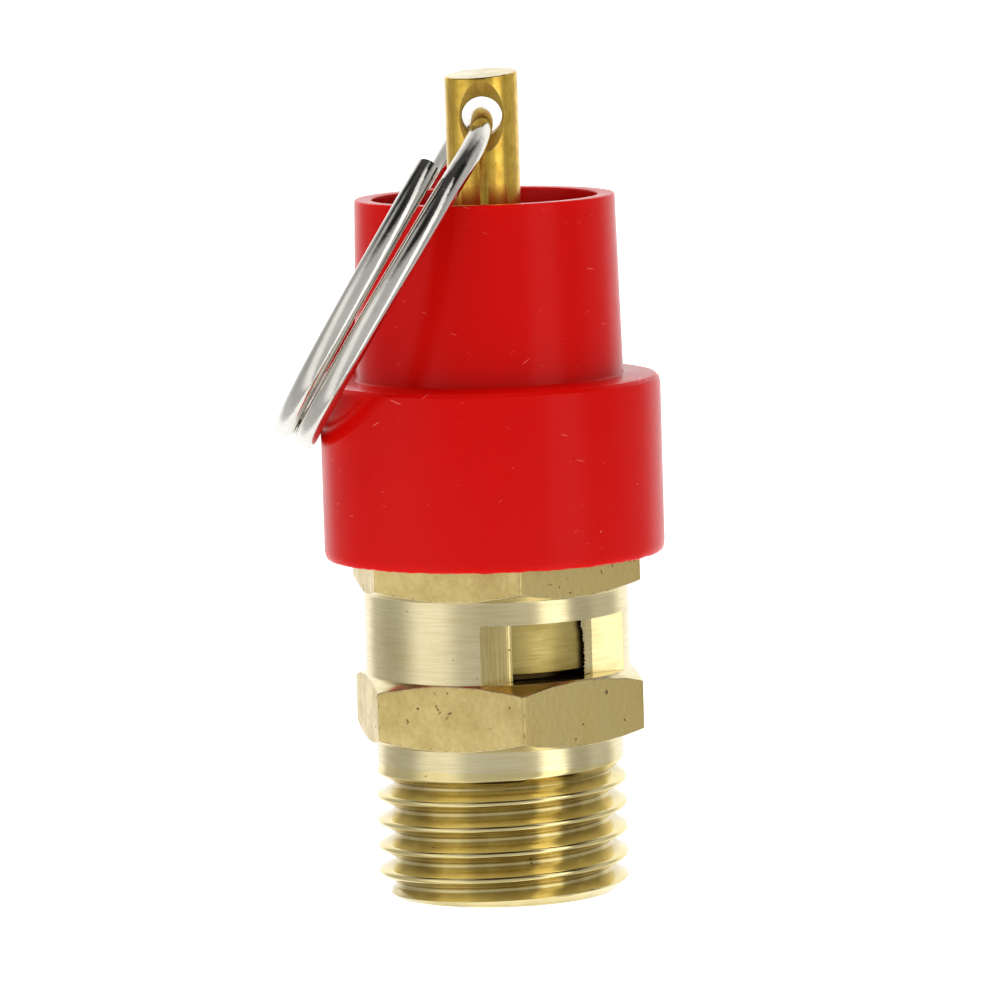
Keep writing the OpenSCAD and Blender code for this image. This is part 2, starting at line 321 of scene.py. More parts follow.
@dataclass(frozen=True)
class Moulding:
    """A moulded plastic or rubber, with flow shading, specks and fine scratches."""

    name: str
    colour: str
    pale: str
    roughness: float
    specular: float
    scratch_share: float = 1.0
    scratch_depth: float = 0.006
    glow: float = 0.0
    glow_depth: float = 1.2
    ripple: float = 0.004
    edge_break: float = 0.05

    def build(self) -> bpy.types.Material:
        """Makes the procedural material, its patterns laid out in real millimetres.

        Returns:
            The material.
        """
        material = bpy.data.materials.new(self.name)
        node = start_nodes(material)
        in_mm = surface_in_mm(node)
        marks = self._scratches(node, in_mm)
        specks = node("TexVoronoi", {"Vector": in_mm, "Scale": 0.6}, out="Distance")
        specks = node("MapRange", {0: specks, 1: 0.02, 2: 0.04, 3: 1.0, 4: 0.0})
        worn = node("Math", {0: marks, 1: specks}, operation="MAXIMUM")
        worn = node("Math", {0: worn, 1: self.scratch_share}, operation="MULTIPLY")
        shades = {0: worn, 6: linear(self.colour), 7: linear(self.pale)}
        cloud = node("TexNoise", {"Vector": in_mm, "Scale": 0.35, "Detail": 4.0})
        rough = {0: cloud, 1: 0.3, 2: 0.7, 3: self.roughness * 0.8, 4: self.roughness * 1.3}
        normal = node("Bevel", {"Radius": self.edge_break * MM}, samples=4)
        normal = node("Bump", {"Height": cloud, "Distance": self.ripple * MM, "Normal": normal})
        sunk = {"Height": worn, "Distance": self.scratch_depth * MM, "Normal": normal}
        inputs = {
            "Base Color": node("Mix", shades, out=2, data_type="RGBA"),
            "Roughness": node("MapRange", rough),
            "Normal": node("Bump", sunk, invert=True),
            "IOR": 1.5,
            "Specular IOR Level": self.specular,
            "Subsurface Weight": self.glow,
            "Subsurface Radius": (1.0, 0.15, 0.1),
            "Subsurface Scale": self.glow_depth * MM,
        }
        node("OutputMaterial", {"Surface": node("BsdfPrincipled", inputs)})
        return material

    def _scratches(self, node: Callable, in_mm) -> bpy.types.NodeSocket:
        """Draws two families of short, thin scratches at different slopes, from 0 to 1.

        Args:
            node: The function that adds a node to the material.
            in_mm: Place on the surface in millimetres.

        Returns:
            Where the scratches are, from 0 to 1.
        """
        families = []
        for slope, seed in ((0.6, 3.0), (-0.35, 11.0)):
            turned = node("VectorRotate", {0: in_mm, 3: slope}, rotation_type="Y_AXIS")
            thin = node("VectorMath", {0: turned, 1: (0.7, 0.7, 9.0)}, operation="MULTIPLY")
            noise = {"Vector": thin, "W": seed, "Scale": 1.0, "Detail": 1.0}
            lines = node("TexNoise", noise, noise_dimensions="4D")
            families.append(node("MapRange", {0: lines, 1: 0.745, 2: 0.79}))
        return node("Math", {0: families[0], 1: families[1]}, operation="MAXIMUM")


# Free-cutting brass turned on a lathe: pale straw gold, with rings left by the tool and a few dings
TURNED_BRASS = Metal(
    "turned_free_cutting_brass", "#F1E5B8", "#C6AC68", 0.23, mark_pitch=0.11, mark_depth=0.0042,
    mark_colour=0.5, tarnish_share=0.45, blotch_size=3.5, pit_size=0.07, pit_share=0.05, stretch=0.5,
    edge_wear_and_highlight=0.6,
)
# Drawn brass hexagon bar: khaki gold, cloudy, with dark pits and nicks from handling
DRAWN_BRASS = Metal(
    "drawn_hexagon_brass", "#E9D38F", "#B99A52", 0.33, Cut.TUMBLED, mark_pitch=0.3, mark_depth=0.0035,
    tarnish_share=0.5, blotch_size=2.0, pit_size=0.17, pit_share=0.3, edge_break=0.02, edge_wear_and_highlight=0.3,
    edge_reach=0.16, nicks=0.85,
)
# Brass thread cut with a die: smooth flanks that mirror each other, with painted shade darkening the grooves
THREAD_BRASS = Metal(
    "die_cut_thread_brass", "#F1E1A4", "#C2A65C", 0.13, mark_pitch=0.16, mark_depth=0.0025, pit_size=0.10,
    pit_share=0.05, groove=(5.8, 6.45, 0.38),
)
# Brass faced by an end mill: straight shallow scratches across the flat
MILLED_BRASS = Metal(
    "end_milled_brass", "#EEDFA8", "#BFA45C", 0.17, Cut.MILLED, mark_pitch=0.16, mark_depth=0.002,
    tarnish_share=0.5, edge_wear_and_highlight=0.5,
)
# Bored brass inside the chamber, darkened as painted shade for the hollow
SHADED_BORE_BRASS = Metal("bore_brass_painted_shade", "#7E6A3C", "#4A3B1E", 0.5, mark_pitch=0.14)
# Piston brass: olive gold, darker than the body's as painted shade inside the chamber, with fine scratches
# round it
SHADED_PISTON_BRASS = Metal(
    "piston_brass_painted_shade", "#CBB871", "#9C8444", 0.42, mark_pitch=0.10, mark_depth=0.003, tarnish_share=0.6
)
# Drawn brass rod, bright-dipped: deep yellow and glossy, mottled, with faint streaks along it
STEM_BRASS = Metal(
    "bright_dipped_brass_rod", "#EFC858", "#B0862C", 0.24, Cut.DRAWN, mark_pitch=0.22, mark_depth=0.001,
    tarnish_share=0.7, blotch_size=0.6, pit_size=0.07, pit_share=0.05, edge_wear_and_highlight=0.6,
)
# Window flat on one side of the opening: milled, streaked along its length and blotched with stains, and
# darker overall as painted shade
STAINED_AND_SHADED_FLAT_BRASS = Metal(
    "milled_brass_stained_and_painted_shade", "#DECB8A", "#9A8448", 0.2, Cut.DRAWN, mark_pitch=0.2, mark_depth=0.003,
    tarnish_share=0.55, blotch_size=0.9, pit_size=0.08, pit_share=0.1, edge_wear_and_highlight=0.5,
)
# The eye in the rod: drilled and countersunk, duller than the rod and finely uneven
DRILLED_BRASS = Metal(
    "drilled_brass_bore", "#F2CC62", "#B98E38", 0.42, Cut.TUMBLED, mark_depth=0.004, tarnish_share=0.5,
    blotch_size=0.5, pit_size=0.06, pit_share=0.08,
)
# Nickel-plated steel wire: near-mirror silver with a warm cast, and a few pits in the plating
NICKEL_WIRE = Metal(
    "nickel_plated_wire", "#E3E0D8", "#BDB8AC", 0.07, Cut.TUMBLED, mark_pitch=0.6, mark_depth=0.004,
    tarnish_share=0.3, pit_size=0.06, pit_share=0.05, pit_colour="#3A3835", edge_break=0.02,
)
# Zinc-plated steel: cool grey, slightly cloudy, with turned rings
PLATED_STEEL = Metal(
    "zinc_plated_steel", "#C9CCD0", "#9DA2A8", 0.30, mark_pitch=0.09, pit_size=0.08, pit_share=0.03
)
# Oil-tempered spring wire: dark steel grey, cloudy
SPRING_STEEL = Metal(
    "oil_tempered_spring_wire", "#8E9094", "#5E5C58", 0.28, Cut.TUMBLED, mark_pitch=0.2, tarnish_share=0.6
)
# Polypropylene, injection moulded: saturated glossy red, paler where it is scratched
RED_PLASTIC = Moulding(
    "moulded_red_polypropylene", "#BE0703", "#F0807A", 0.2, 0.1, scratch_share=0.5, glow=0.3
)
# Nitrile rubber, compression moulded: matt black with a grey bloom
BLACK_RUBBER = Moulding("moulded_nitrile_rubber", "#1B1B1A", "#3A3A38", 0.62, 0.35, scratch_share=0.3)


# ---------------------------------------------------------------- mesh tools


@dataclass
class Ring:
    """One ring of a part that is built of rings round the valve's axis."""

    radius: float | np.ndarray
    height: float | np.ndarray
    soft: float = 0.0


def heights_of(node: str) -> tuple[float, float]:
    """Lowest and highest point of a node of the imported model, in millimetres."""
    low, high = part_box(node)
    return low.z / MM, high.z / MM


def even_angles(count: int, start: float = 0.0) -> np.ndarray:
    """Angles in radians, evenly spaced round a full turn from start."""
    return start + np.arange(count) * 2 * math.pi / count


def soften(rings: list[Ring], count: int, closed: bool) -> np.ndarray:
    """Rounds the corners of an outline, ring by ring.

    Args:
        rings: The outline's corners, each with how far its rounding reaches.
        count: Number of points round each ring.
        closed: Whether the last ring joins the first.

    Returns:
        Radius and height of every point, as rings by points by 2.
    """
    flat = np.zeros(count)
    corners = [np.stack([flat + ring.radius, flat + ring.height], axis=-1) for ring in rings]
    rows = []
    for i, ring in enumerate(rings):
        here = corners[i]
        if not ring.soft or (not closed and i in (0, len(rings) - 1)):
            rows.append(here)
            continue
        ends = []
        for other in (corners[i - 1], corners[(i + 1) % len(rings)]):
            run = np.linalg.norm(other - here, axis=-1, keepdims=True)
            reach = np.minimum(ring.soft, 0.45 * run)
            ends.append(here + (other - here) / np.maximum(run, 1e-9) * reach)
        for t in np.linspace(0, 1, FILLET_STEPS + 1):
            rows.append((1 - t) ** 2 * ends[0] + 2 * t * (1 - t) * here + t**2 * ends[1])
    return np.array(rows)


def make_piece(name: str, points: np.ndarray, faces: list) -> bpy.types.Object:
    """Makes a closed mesh object from points in millimetres.

    Args:
        name: Name of the piece.
        points: The corners, in millimetres.
        faces: Corner numbers of each face.

    Returns:
        A smooth-shaded object with sharp edges marked.
    """
    mesh = bpy.data.meshes.new(name)
    mesh.from_pydata((np.asarray(points) * MM).tolist(), [], faces)
    work = bmesh.new()
    work.from_mesh(mesh)
    bmesh.ops.remove_doubles(work, verts=work.verts, dist=1e-4 * MM)
    bmesh.ops.dissolve_degenerate(work, edges=work.edges, dist=1e-5 * MM)
    bmesh.ops.recalc_face_normals(work, faces=work.faces)
    work.to_mesh(mesh)
    work.free()
    piece = bpy.data.objects.new(name, mesh)
    bpy.context.scene.collection.objects.link(piece)
    smooth(piece)
    return piece


def smooth(piece: bpy.types.Object) -> None:
    """Shades the piece smooth, apart from its sharp edges."""
    piece.data.shade_smooth()
    piece.data.set_sharp_from_angle(angle=SHARP_ANGLE)


def grid_faces(rows: int, columns: int, closed_rows: bool, shift: int = 0, first: int = 0) -> list:
    """Faces of a grid of points that is closed round its columns.

    Args:
        rows: Number of rows.
        columns: Number of points in each row.
        closed_rows: Whether the last row joins the first.
        shift: How many rows the grid climbs in one turn, as a screw does.
        first: Number of the grid's first point.

    Returns:
        Four corner numbers for each face.
    """
    faces = []
    for i in range(rows if closed_rows else rows - 1):
        for j in range(columns):
            climb = shift if j == columns - 1 else 0
            if not closed_rows and i + 1 + climb >= rows:
                continue
            low = i % rows
            high = (i + 1) % rows
            beside = (j + 1) % columns
            faces.append(
                [
                    first + low * columns + j,
                    first + (low + climb) * columns + beside,
                    first + (high + climb) * columns + beside,
                    first + high * columns + j,
                ]
            )
    return faces


def round_points(rows: np.ndarray, angles: np.ndarray) -> np.ndarray:
    """Places rings of radius and height round the valve's axis, as X, Y and Z."""
    radius = rows[..., 0]
    return np.stack([radius * np.cos(angles), radius * np.sin(angles), rows[..., 1]], axis=-1).reshape(-1, 3)


def turned_piece(
    name: str, rings: list[Ring], angles: np.ndarray | None = None, closed: bool = True
) -> bpy.types.Object:
    """Builds a part out of rings round the valve's axis.

    Args:
        name: Name of the piece.
        rings: The outline's corners in order.
        angles: Angles of the points round each ring.
        closed: Whether the outline is a loop, as on a part with a hole through it.

    Returns:
        The new piece.
    """
    angles = even_angles(160) if angles is None else angles
    rows = soften(rings, len(angles), closed)
    return make_piece(name, round_points(rows, angles), grid_faces(len(rows), len(angles), closed))


def carve(piece: bpy.types.Object, *cutters: bpy.types.Object) -> bpy.types.Object:
    """Cuts other pieces out of a piece, and deletes them.

    Args:
        piece: What is cut.
        *cutters: What is taken away.

    Returns:
        The cut piece.
    """
    for cutter in cutters:
        cut = piece.modifiers.new("cut", "BOOLEAN")
        cut.operation = "DIFFERENCE"
        cut.solver = "EXACT"
        cut.object = cutter
    whole = piece.evaluated_get(bpy.context.evaluated_depsgraph_get())
    mesh = bpy.data.meshes.new_from_object(whole)
    piece.modifiers.clear()
    piece.data = mesh
    for cutter in cutters:
        bpy.data.objects.remove(cutter)
    smooth(piece)
    return piece


def prism(outline: list[tuple], low: float, high: float, turn: float = 0.0) -> bpy.types.Object:
    """Makes an upright cutting prism.

    Args:
        outline: X and Y of its corners in order, in millimetres.
        low: Height of its underside.
        high: Height of its top.
        turn: How far it is turned about the valve's axis, in radians.

    Returns:
        The new piece.
    """
    count = len(outline)
    points = [(x, y, z) for z in (low, high) for x, y in outline]
    faces = [[i, (i + 1) % count, count + (i + 1) % count, count + i] for i in range(count)]
    faces += [list(range(count))[::-1], list(range(count, 2 * count))]
    piece = make_piece("cutter", np.array(points), faces)
    piece.data.transform(Matrix.Rotation(turn, 4, "Z"))
    return piece


def block(length: float, width: float, low: float, high: float) -> bpy.types.Object:
    """Makes a cutting block centred on the valve's axis, in millimetres.

    Args:
        length: Its size along X.
        width: Its size along Y.
        low: Height of its underside.
        high: Height of its top.

    Returns:
        The cutter.
    """
    x = length / 2
    y = width / 2
    return prism([(-x, -y), (x, -y), (x, y), (-x, y)], low, high)


def join(piece: bpy.types.Object, *others: bpy.types.Object) -> None:
    """Adds the meshes of other pieces to a piece, and deletes them.

    Args:
        piece: The piece.
        *others: The pieces to add.
    """
    work = bmesh.new()
    work.from_mesh(piece.data)
    for other in others:
        work.from_mesh(other.data)
        bpy.data.objects.remove(other)
    work.to_mesh(piece.data)
    work.free()
    smooth(piece)


def face_layout(piece: bpy.types.Object) -> tuple[np.ndarray, np.ndarray]:
    """Finds the centre, in millimetres, and the direction of every face of a piece.

    Args:
        piece: The piece.

    Returns:
        The centres and the directions, one row for each face.
    """
    data = []
    for name in ("center", "normal"):
        values = np.zeros(len(piece.data.polygons) * 3)
        piece.data.polygons.foreach_get(name, values)
        data.append(values.reshape(-1, 3))
    return data[0] / MM, data[1]


def ragged(angles: np.ndarray, size: float, seed: int, waves: int = 40) -> np.ndarray:
    """Uneven offsets round a ring, as burrs and flash leave.

    Args:
        angles: Angles round the ring.
        size: Largest offset, in millimetres.
        seed: Seed of the random draw.
        waves: How many bumps there are room for round the ring.

    Returns:
        One offset for each angle.
    """
    draw = np.random.default_rng(seed)
    total = np.zeros(len(angles))
    for _ in range(12):
        strength = draw.uniform(0.2, 1)
        count = draw.integers(waves // 8, waves)
        total += strength * np.cos(count * angles + draw.uniform(0, 7))
    return size * total / np.abs(total).max()


def swept_wire(
    name: str, centres: np.ndarray, side_a: np.ndarray, side_b: np.ndarray, radii: np.ndarray, sides: int
) -> bpy.types.Object:
    """Sweeps a round wire along a line.

    Args:
        name: Name of the piece.
        centres: Points of the line.
        side_a: One direction across the wire at each point.
        side_b: The other direction across it.
        radii: Radius of the wire at each point.
        sides: Number of points round the wire.

    Returns:
        The new piece, closed at both ends.
    """
    around = even_angles(sides)
    cos, sin = (turn(around)[None, :, None] for turn in (np.cos, np.sin))
    across = cos * side_a[:, None, :] + sin * side_b[:, None, :]
    points = (centres[:, None, :] + radii[:, None, None] * across).reshape(-1, 3)
    faces = grid_faces(len(centres), sides, False) + end_caps(len(centres), sides)
    return make_piece(name, points, faces)


def dress(piece: bpy.types.Object, *finishes: bpy.types.Material) -> None:
    """Gives the piece its materials, in order.

    Args:
        piece: The piece.
        *finishes: Its materials, in order.
    """
    piece.data.materials.clear()
    for finish in finishes:
        piece.data.materials.append(finish)


def end_caps(rows: int, columns: int) -> list:
    """Faces that close the first and the last row of a grid."""
    last = (rows - 1) * columns
    return [list(range(columns)), list(range(last, last + columns))[::-1]]


def place(piece: bpy.types.Object, body: str, slot: str, *nodes: str) -> None:
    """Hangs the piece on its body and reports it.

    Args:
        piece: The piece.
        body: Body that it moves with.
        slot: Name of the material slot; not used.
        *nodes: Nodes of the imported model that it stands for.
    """
    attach(piece, body)
    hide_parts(*nodes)
    LOG.info("%s: %d faces, rides on %s", piece.name, len(piece.data.polygons), body)


@dataclass
class Hexagon:
    """A hexagonal section with a turned chamfer at each end."""

    across_flats: float
    face_radius: float
    low: float
    high: float
    corner_angle: float = 0.0
    corner_radius: float = 0.07
    chamfer: float = 23.0

    def angles(self, count: int) -> np.ndarray:
        """Angles round the hexagon, with extra ones at its rounded corners.

        Args:
            count: Number of evenly spaced angles, a multiple of 6.

        Returns:
            All the angles in radians, in order.
        """
        start = math.radians(self.corner_angle)
        half = self._corner_half_angle()
        spots = (-1, -0.6, -0.3, 0.3, 0.6, 1)
        extra = [start + k * math.pi / 3 + half * spot for k in range(6) for spot in spots]
        both = np.concatenate([even_angles(count, start), np.array(extra)])
        return np.sort(np.mod(both - start + 0.05, 2 * math.pi)) + start - 0.05

    def _corner_half_angle(self) -> float:
        """Half of the angle that one rounded corner takes up, seen from the axis.

        Returns:
            The angle in radians.
        """
        centre = (self.across_flats / 2 - self.corner_radius) / math.cos(math.pi / 6)
        reach = centre + self.corner_radius * math.cos(math.pi / 6)
        return math.atan(self.corner_radius * math.sin(math.pi / 6) / reach)

    def reach(self, angles: np.ndarray) -> np.ndarray:
        """Distance from the axis to the hexagon's side at each angle.

        Args:
            angles: Angles in radians.

        Returns:
            The distances.
        """
        sixth = math.pi / 3
        off = np.mod(angles - math.radians(self.corner_angle) + sixth / 2, sixth) - sixth / 2
        side = self.across_flats / 2 / np.cos(sixth / 2 - np.abs(off))
        centre = (self.across_flats / 2 - self.corner_radius) / math.cos(sixth / 2)
        inside = np.maximum(self.corner_radius**2 - (centre * np.sin(off)) ** 2, 0)
        rounded = centre * np.cos(off) + np.sqrt(inside)
        return np.where(np.abs(off) < self._corner_half_angle(), rounded, side)

    def rings(
        self, angles: np.ndarray, low_radius: float, high_radius: float, burr: float = 0.0
    ) -> list[Ring]:
        """The outline from where the lower chamfer starts to where the upper one ends.

        Args:
            angles: Angles of the points.
            low_radius: Radius at which the lower chamfer starts.
            high_radius: Radius at which the upper chamfer ends.
            burr: Size of the roughness on the chamfers' edges.

        Returns:
            Four rings, from the lowest up.
        """
        side = self.reach(angles)
        slope = math.tan(math.radians(self.chamfer))
        drop = (side - self.face_radius) * slope
        seeds = [int(10 * self.low) + k for k in range(2)]
        rough = [ragged(angles, burr, seed) if burr else 0.0 for seed in seeds]
        return [
            Ring(low_radius, self.low + (low_radius - self.face_radius) * slope, 0.05),
            Ring(side, self.low + drop + rough[0], 0.06),
            Ring(side, self.high - drop + rough[1], 0.06),
            Ring(high_radius, self.high - (high_radius - self.face_radius) * slope, 0.05),
        ]


# ---------------------------------------------------------------- valve body


@dataclass
class PipeThread:
    """A right-hand 1/4 inch parallel pipe thread with a lead chamfer and a run-out."""

    crest_radius: float = 6.5785
    pitch: float = 1.337
    flank_angle: float = 27.5
    end_radius: float = 5.9
    neck_radius: float = 6.47
    first_crest: float = 0.53
    fade_low: float = 6.1
    top: float = 7.1
    rounding: float = 0.18

    def _profile(self) -> np.ndarray:
        """Height and radius over one pitch, centred on a crest, with its corners rounded.

        Returns:
            Heights and radii, one row for each point.
        """
        depth = 0.6403 * self.pitch
        root = self.crest_radius - depth
        run = depth * math.tan(math.radians(self.flank_angle))
        flat = (self.pitch - 2 * run) / 2
        corners = [
            Ring(root, -self.pitch / 2),
            Ring(root, -flat / 2 - run, self.rounding),
            Ring(self.crest_radius, -flat / 2, self.rounding),
            Ring(self.crest_radius, flat / 2, self.rounding),
            Ring(root, flat / 2 + run, self.rounding),
            Ring(root, self.pitch / 2),
        ]
        return soften(corners, 1, False)[:, 0, ::-1]

    def radius(self, angles: np.ndarray, heights: np.ndarray) -> np.ndarray:
        """Distance from the axis to the thread's surface.

        Args:
            angles: Angles in radians.
            heights: Heights at those angles.

        Returns:
            The radii.
        """
        profile = self._profile()
        crest = self.first_crest + self.pitch * np.mod(angles, 2 * math.pi) / (2 * math.pi)
        phase = np.mod(heights - crest + self.pitch / 2, self.pitch) - self.pitch / 2
        cut = np.interp(phase, profile[:, 0], profile[:, 1])
        cut = np.minimum(cut, self.end_radius + np.maximum(heights, 0) * 1.1)
        share = np.clip((heights - self.fade_low) / (self.top - self.fade_low), 0, 1)
        return cut + (self.neck_radius - cut) * share * share * (3 - 2 * share)

    def surface(self, angles: np.ndarray) -> tuple[np.ndarray, list]:
        """The threaded surface as a grid that climbs with the thread.

        Args:
            angles: Angles of the points round the axis, rising through one turn.

        Returns:
            The points and the faces.
        """
        offsets = self._profile()[:-1, 0]
        turns = math.ceil((self.top + self.pitch) / self.pitch) + 2
        rest = np.concatenate([offsets + self.pitch * k for k in range(-2, turns)])
        climb = self.first_crest + self.pitch * np.mod(angles, 2 * math.pi) / (2 * math.pi)
        wraps = np.cumsum(np.concatenate([[0], np.diff(climb) < 0])) * self.pitch
        heights = np.clip(rest[:, None] + climb + wraps, 0, self.top)
        radii = self.radius(np.broadcast_to(angles, heights.shape), heights)
        points = round_points(np.stack([radii, heights], axis=-1), angles)
        return points, grid_faces(len(rest), len(angles), False, shift=len(offsets))


@dataclass
class ValveBody:
    """The one-piece brass body: thread, two hexagons, turned barrel, neck, bores and windows."""

    thread: PipeThread = field(default_factory=PipeThread)
    lower_hex: Hexagon = field(default_factory=lambda: Hexagon(14, 6.902, 8.25, 11.75, -81.1))
    upper_hex: Hexagon = field(default_factory=lambda: Hexagon(14, 6.902, 16.05, 19.2, -81.1))
    barrel_radius: float = 6.925
    cap_neck_radius: float = 6.9
    inlet_radius: float = 3.6
    orifice_radius: float = 3.2
    lip_radius: float = 4.1
    lip_top: float = 12.3
    thread_inside: float = 5.5
    chamber_radius: float = 5.70
    chamber_floor: float = 11.6
    tapped_radius: float = 6.0
    tapped_low: float = 18.7
    window_depth: float = 5.18
    window_angle: float = -58.1
    window_low: float = 11.75
    window_high: float = 14.85
    window_hollow: float = 4.5

    def build(self) -> bpy.types.Object:
        """Makes the body's mesh.

        Returns:
            The piece, with its two windows cut.
        """
        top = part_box("valve_body")[1].z / MM
        angles = self.lower_hex.angles(240)
        points, faces = self.thread.surface(angles)
        rings = [
            Ring(self.thread.radius(angles, np.full(len(angles), self.thread.top)), self.thread.top),
            Ring(self.thread.neck_radius, self.lower_hex.low, 0.12),
            *self.lower_hex.rings(angles, self.lower_hex.face_radius, self.barrel_radius, 0.03),
            *self.upper_hex.rings(angles, self.barrel_radius, self.cap_neck_radius, 0.03),
            Ring(self.cap_neck_radius, top, 0.2),
            Ring(self.tapped_radius, top, 0.2),
            Ring(self.tapped_radius, self.tapped_low, 0.05),
            Ring(self.chamber_radius, self.tapped_low, 0.05),
            Ring(self.chamber_radius, self.chamber_floor, 0.1),
            Ring(self.lip_radius, self.chamber_floor, 0.1),
            Ring(self.lip_radius, self.lip_top, 0.05),
            Ring(self.orifice_radius, self.lip_top, 0.05),
            Ring(self.orifice_radius, 9, 0.05),
            Ring(self.inlet_radius, 9, 0.05),
            Ring(self.inlet_radius, 0, 0.12),
            Ring(self.thread.radius(angles, np.zeros(len(angles))), 0),
        ]
        rows = soften(rings, len(angles), False)
        faces += grid_faces(len(rows), len(angles), False, first=len(points))
        body = make_piece("valve_body_shell", np.vstack([points, round_points(rows, angles)]), faces)
        carve(body, *[self._window(self.window_angle + turn) for turn in (0, 180)])
        join(body, *[burr for turn in (0, 180) for burr in self._burrs(self.window_angle + turn)])
        return body

    def _half_opening(self) -> float:
        """Half of the width that a window opens into the chamber."""
        return math.sqrt(self.chamber_radius**2 - self.window_depth**2)

    def _window(self, angle: float) -> bpy.types.Object:
        """A prism that mills one exhaust window, facing angle and very slightly hollow.

        Args:
            angle: The way that the window faces, in degrees.

        Returns:
            The cutter.
        """
        reach = self.barrel_radius + 1
        half = self._half_opening()
        outer = self.window_depth + math.tan(math.radians(self.window_hollow)) * (reach - half)
        outline = [
            (self.window_depth, -half),
            (self.window_depth, half),
            (outer, reach),
            (reach + 1, reach),
            (reach + 1, -reach),
            (outer, -reach),
        ]
        return prism(outline, self.window_low, self.window_high, math.radians(angle))

    def _burrs(self, angle: float) -> list[bpy.types.Object]:
        """The metal that the cutter pushed over the upright edges of one window.

        Args:
            angle: Direction that the window faces, in degrees.

        Returns:
            A raised lip on the left edge and a torn foil over the opening on the right one.
        """
        half = self._half_opening()
        depth = self.window_depth
        height = np.linspace(self.window_low + 0.02, self.window_high - 0.02, 40)
        up = (height - height[0]) / (height[-1] - height[0])
        waves = ragged(np.pi * up, 0.03, 31, 60)
        lip = [
            (depth - 0.06, -half - 0.2 - waves),
            (depth + 0.005, -half - 0.2 - waves),
            (depth + 0.06 + 0.5 * waves, -half - 0.01),
            (depth - 0.06, -half),
        ]
        torn = 0.3 + 0.4 * up**2 + 0.2 * (1 - up) ** 2 + 4.5 * waves
        foil = [
            (depth - 0.09, half + 0.1),
            (depth + 0.012, half + 0.16),
            (depth + 0.1 + 0.2 * torn, half - 0.5 * torn),
            (depth + 0.16 + 0.16 * torn, half - torn),
            (depth + 0.13 + 0.16 * torn, half - torn),
            (depth + 0.05 + 0.2 * torn, half - 0.5 * torn),
        ]
        pieces = []
        for name, section in (("window_lip", lip), ("window_foil", foil)):
            points = np.array([np.broadcast_arrays(out, across, height) for out, across in section])
            size = (len(height), len(section))
            faces = grid_faces(*size, False) + end_caps(*size)
            piece = make_piece(name, points.transpose(2, 0, 1).reshape(-1, 3), faces)
            piece.data.transform(Matrix.Rotation(math.radians(angle), 4, "Z"))
            pieces.append(piece)
        return pieces

    def dress(self, body: bpy.types.Object) -> None:
        """Gives each stretch of the surface the finish that its making left, with darker copies as painted
        shade in the chamber's bore and on one side of each window's flat.

        Args:
            body: The body's piece.
        """
        finishes = (TURNED_BRASS, DRAWN_BRASS, THREAD_BRASS, MILLED_BRASS, SHADED_BORE_BRASS, STAINED_AND_SHADED_FLAT_BRASS)
        dress(body, *[finish.build() for finish in finishes])
        centres, normals = face_layout(body)
        radius = np.hypot(centres[:, 0], centres[:, 1])
        height = centres[:, 2]
        turn = math.radians(self.window_angle)
        facing = np.array([math.cos(turn), math.sin(turn)])
        out = centres[:, :2] @ facing
        across = (centres[:, :2] @ np.array([-facing[1], facing[0]])) * np.sign(out)
        on_side = np.zeros(len(height), bool)
        for hexagon in (self.lower_hex, self.upper_hex):
            on_side |= (height > hexagon.low + SKIN) & (height < hexagon.high - SKIN)
        on_side &= (np.abs(normals[:, 2]) < 0.25) & (radius > self.barrel_radius + SKIN)
        on_thread = (height < self.thread.top) & (radius > self.thread_inside)
        in_chamber = (height > self.chamber_floor - 0.1) & (height < self.tapped_low)
        in_window = (height > self.window_low - 0.01) & (height < self.window_high + 0.01)
        in_window &= np.abs(out) > self.window_depth - 0.01
        on_flat = in_window & (np.abs(normals[:, :2] @ facing) > 0.9)
        kinds = np.zeros(len(height), np.int32)
        kinds[on_side] = finishes.index(DRAWN_BRASS)
        kinds[on_thread] = finishes.index(THREAD_BRASS)
        # The chamber's bore takes a darker brass: painted shade in the hollow
        kinds[in_chamber & (radius < self.chamber_radius + 0.02)] = finishes.index(SHADED_BORE_BRASS)
        kinds[on_flat | (in_window & (np.abs(normals[:, 2]) > 0.9))] = finishes.index(MILLED_BRASS)
        # One side of each window's flat takes a darker copy of the milled brass: painted shade, with stain
        # blotches
        kinds[on_flat & (across < 0)] = finishes.index(STAINED_AND_SHADED_FLAT_BRASS)
        body.data.polygons.foreach_set("material_index", kinds)
        place(body, "root", "turned_brass", "valve_body")


# ---------------------------------------------------------------- dust cap


